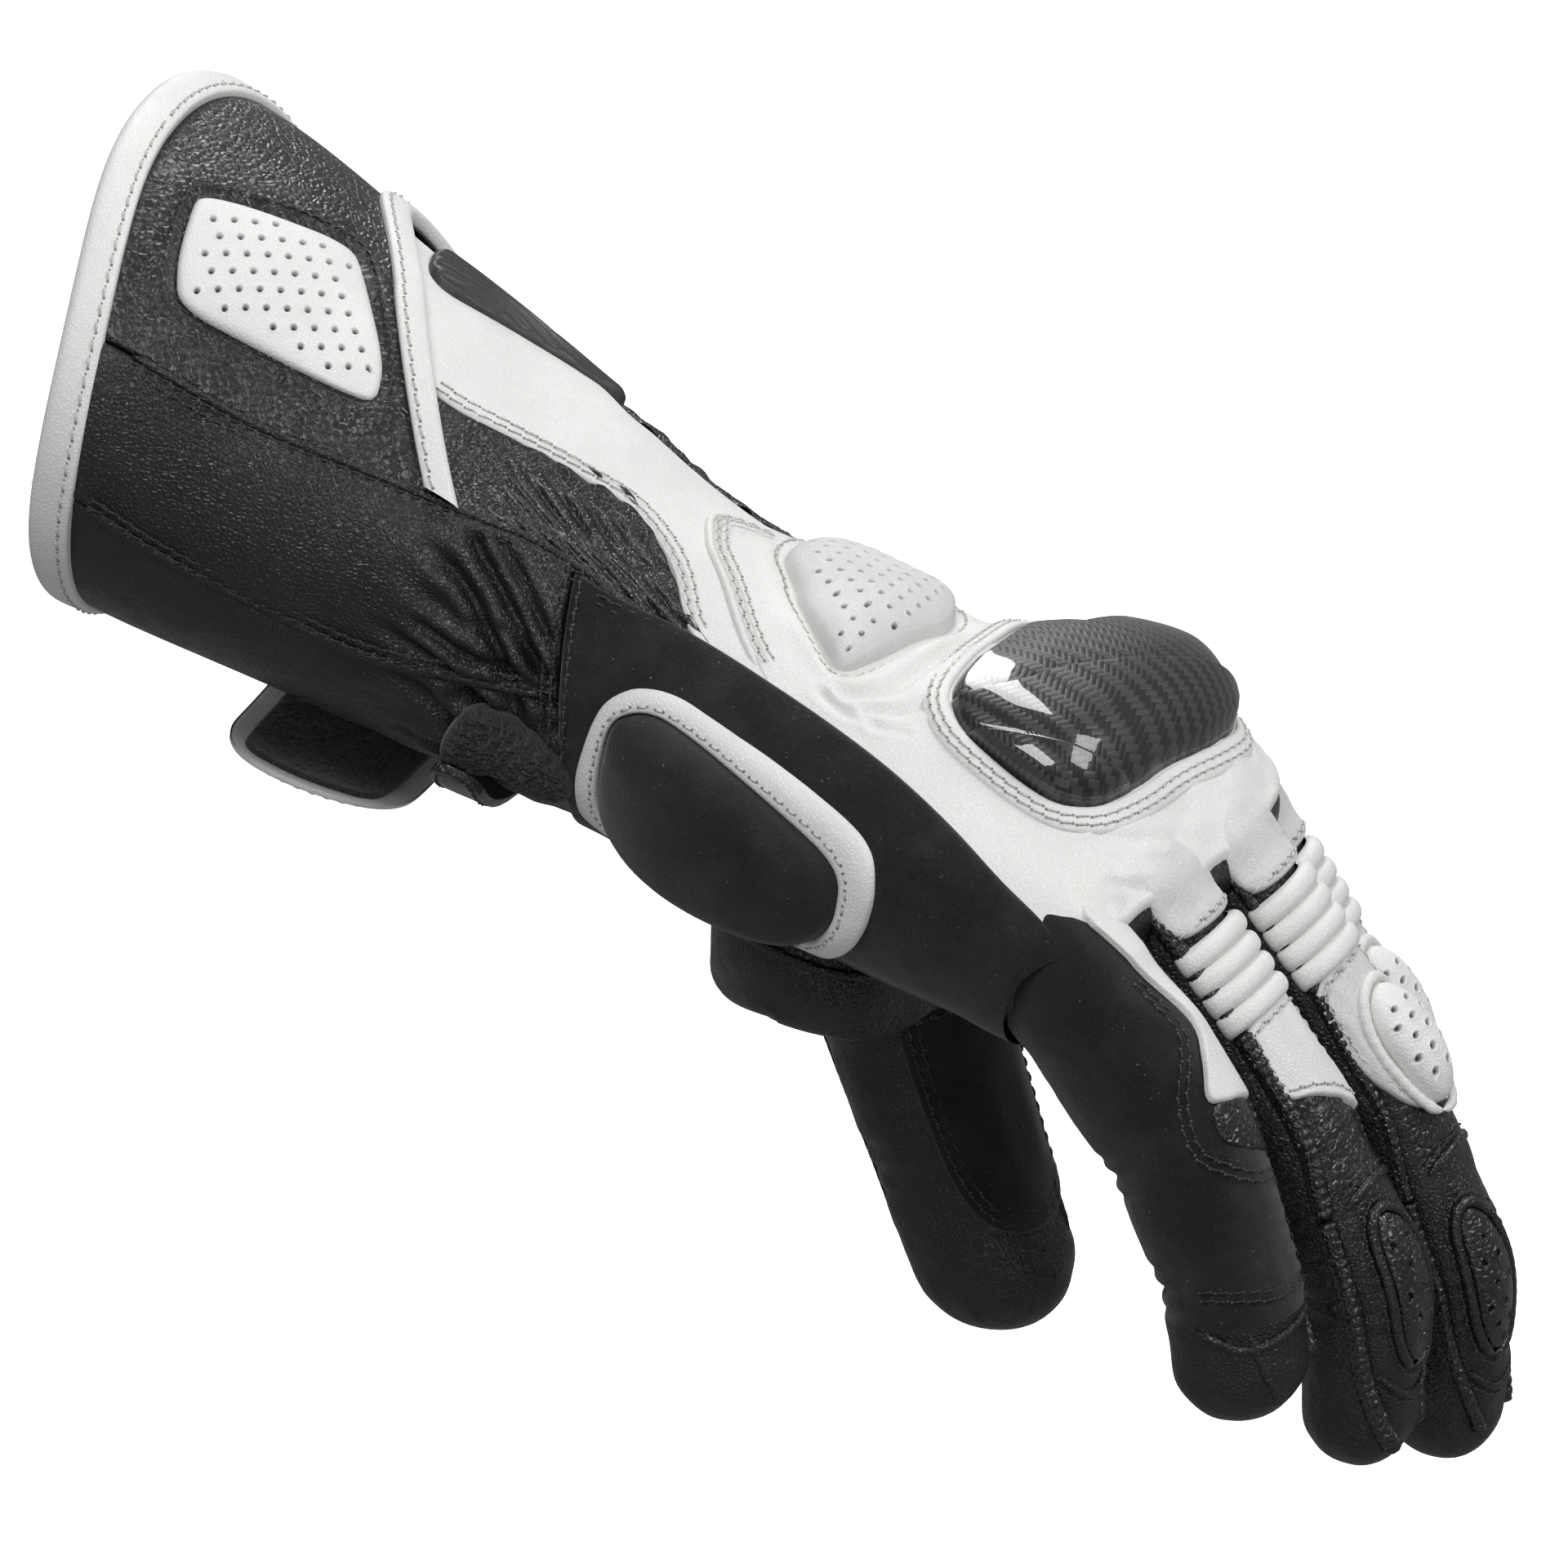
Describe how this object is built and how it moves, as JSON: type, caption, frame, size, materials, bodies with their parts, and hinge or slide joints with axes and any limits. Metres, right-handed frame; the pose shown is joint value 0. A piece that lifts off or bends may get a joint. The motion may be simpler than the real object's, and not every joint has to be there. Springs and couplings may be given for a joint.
{
  "type": "motorcycle gauntlet glove",
  "caption": "Right-hand leather riding gauntlet with hard knuckle shield, padded wrist, palm slider, ribbed stretch panels and fingers that bend.",
  "frame": {"origin": "middle of the cuff opening, where the forearm goes in", "axes": "+X along the forearm towards the fingertips, +Y towards the thumb side, +Z out of the back of the hand"},
  "size_m": [0.3274, 0.1175, 0.1744],
  "materials": {
    "black_leather": "pebble grain",
    "white_leather": "fine grain",
    "trim_rubber": "grooved",
    "lining": "brushed knit",
    "hook_and_loop": "napped",
    "black_suede": "napped suede",
    "carbon_shell": "clear-coated twill",
    "foam": "closed-cell foam"
  },
  "bodies": {
    "gauntlet": {"gauntlet_back_panel": "black_leather", "gauntlet_side_panel": "black_leather", "gauntlet_palm_panel": "black_leather", "cuff_binding": "white_leather", "gauntlet_vent_pad": "white_leather", "notch_piping": "white_leather", "wrist_back_strip": "white_leather", "outer_wrist_gusset": "black_leather", "inner_wrist_gusset": "black_leather", "wrist_trim_plate": "trim_rubber", "gauntlet_lining": "lining", "cuff_loop_patch": "hook_and_loop", "wrist_loop_patch": "hook_and_loop"},
    "cuff_flap": {"cuff_flap": "white_leather", "cuff_hook_patch": "hook_and_loop"},
    "wrist_strap": {"wrist_strap": "black_leather", "strap_hook_patch": "hook_and_loop"},
    "hand": {"hand_back_panel": "white_leather", "outer_suede_panel": "black_suede", "palm_panel": "black_leather", "thenar_panel": "black_leather", "hand_lining": "lining", "wrist_pad": "white_leather", "knuckle_shield": "carbon_shell", "knuckle_shield_rim": "white_leather", "knuckle_foam": "foam", "palm_slider_pad": "black_suede", "palm_slider_border": "white_leather"},
    "index_base": {"index_base_shell": "black_leather", "index_stretch_panel": "white_leather", "index_knuckle_pad": "white_leather"},
    "index_mid": {"index_mid_shell": "black_leather", "index_vent_insert": "black_leather"},
    "index_tip": {"index_tip_shell": "black_leather"},
    "middle_base": {"middle_base_shell": "black_leather", "middle_stretch_panel": "white_leather", "middle_knuckle_pad": "white_leather"},
    "middle_mid": {"middle_mid_shell": "black_leather", "middle_vent_insert": "black_leather"},
    "middle_tip": {"middle_tip_shell": "black_leather"},
    "ring_base": {"ring_base_shell": "black_leather", "ring_stretch_panel": "white_leather", "ring_knuckle_panel": "white_leather"},
    "ring_mid": {"ring_mid_shell": "black_leather", "ring_vent_insert": "black_leather"},
    "ring_tip": {"ring_tip_shell": "black_leather"},
    "little_base": {"little_base_shell": "black_suede", "little_back_panel": "white_leather"},
    "little_mid": {"little_mid_shell": "black_suede"},
    "little_tip": {"little_tip_shell": "black_leather"},
    "thumb_base": {"thumb_base_shell": "black_leather", "thumb_grip_patch": "black_suede", "thumb_back_panel": "white_leather"},
    "thumb_tip": {"thumb_tip_shell": "black_leather"}
  },
  "joints": [
    {"name": "wrist_flex", "type": "hinge", "parent": "gauntlet", "child": "hand", "pos_m": [0.106, 0, -0.0085], "axis": [0, 1, 0], "range_deg": [-20, 20]},
    {"name": "cuff_flap_hinge", "type": "hinge", "parent": "gauntlet", "child": "cuff_flap", "pos_m": [0.062, 0.02381, -0.04005], "axis": [1, 0, 0], "range_deg": [-8, 95]},
    {"name": "wrist_strap_hinge", "type": "hinge", "parent": "gauntlet", "child": "wrist_strap", "pos_m": [0.0925, 0.03389, -0.03245], "axis": [1, 0, 0], "range_deg": [0, 110]},
    {"name": "index_knuckle", "type": "hinge", "parent": "hand", "child": "index_base", "pos_m": [0.218, 0.036, -0.014], "axis": [-0.0523, 0.9986, 0], "range_deg": [-22, 24]},
    {"name": "index_middle_bend", "type": "hinge", "parent": "index_base", "child": "index_mid", "pos_m": [0.25309, 0.03784, -0.04048], "axis": [-0.0523, 0.9986, 0], "range_deg": [-14, 34]},
    {"name": "index_tip_bend", "type": "hinge", "parent": "index_mid", "child": "index_tip", "pos_m": [0.26984, 0.03872, -0.06535], "axis": [-0.0523, 0.9986, 0], "range_deg": [-8, 18]},
    {"name": "middle_knuckle", "type": "hinge", "parent": "hand", "child": "middle_base", "pos_m": [0.224, 0.012, -0.005], "axis": [-0.0174, 0.9998, 0], "range_deg": [-22, 28]},
    {"name": "middle_middle_bend", "type": "hinge", "parent": "middle_base", "child": "middle_mid", "pos_m": [0.26385, 0.0127, -0.02991], "axis": [-0.0174, 0.9998, 0], "range_deg": [-12, 44]},
    {"name": "middle_tip_bend", "type": "hinge", "parent": "middle_mid", "child": "middle_tip", "pos_m": [0.28816, 0.01312, -0.05508], "axis": [-0.0174, 0.9998, 0], "range_deg": [-7, 23]},
    {"name": "ring_knuckle", "type": "hinge", "parent": "hand", "child": "ring_base", "pos_m": [0.22, -0.0125, -0.005], "axis": [0.0262, 0.9997, 0], "range_deg": [-22, 32]},
    {"name": "ring_middle_bend", "type": "hinge", "parent": "ring_base", "child": "ring_mid", "pos_m": [0.2573, -0.01348, -0.02832], "axis": [0.0262, 0.9997, 0], "range_deg": [-8, 54]},
    {"name": "ring_tip_bend", "type": "hinge", "parent": "ring_mid", "child": "ring_tip", "pos_m": [0.27993, -0.01407, -0.048], "axis": [0.0262, 0.9997, 0], "range_deg": [-4, 23]},
    {"name": "little_knuckle", "type": "hinge", "parent": "hand", "child": "little_base", "pos_m": [0.215, -0.037, -0.0065], "axis": [0.0785, 0.9969, 0], "range_deg": [-22, 36]},
    {"name": "little_middle_bend", "type": "hinge", "parent": "little_base", "child": "little_mid", "pos_m": [0.24343, -0.03924, -0.02502], "axis": [0.0785, 0.9969, 0], "range_deg": [-14, 54]},
    {"name": "little_tip_bend", "type": "hinge", "parent": "little_mid", "child": "little_tip", "pos_m": [0.2601, -0.04055, -0.0436], "axis": [0.0785, 0.9969, 0], "range_deg": [-8, 28]},
    {"name": "thumb_root", "type": "hinge", "parent": "hand", "child": "thumb_base", "pos_m": [0.155, 0.027, -0.042], "axis": [0.8245, -0.0867, 0.5592], "range_deg": [-20, 30]},
    {"name": "thumb_bend", "type": "hinge", "parent": "thumb_base", "child": "thumb_tip", "pos_m": [0.18948, 0.02338, -0.0934], "axis": [0.8245, -0.0867, 0.5592], "range_deg": [-60, 6]}
  ],
  "couplings": [
    {"joint": "index_tip_bend", "follows": "index_middle_bend", "ratio": 0.5},
    {"joint": "middle_tip_bend", "follows": "middle_middle_bend", "ratio": 0.5},
    {"joint": "ring_tip_bend", "follows": "ring_middle_bend", "ratio": 0.4},
    {"joint": "little_tip_bend", "follows": "little_middle_bend", "ratio": 0.5}
  ]
}
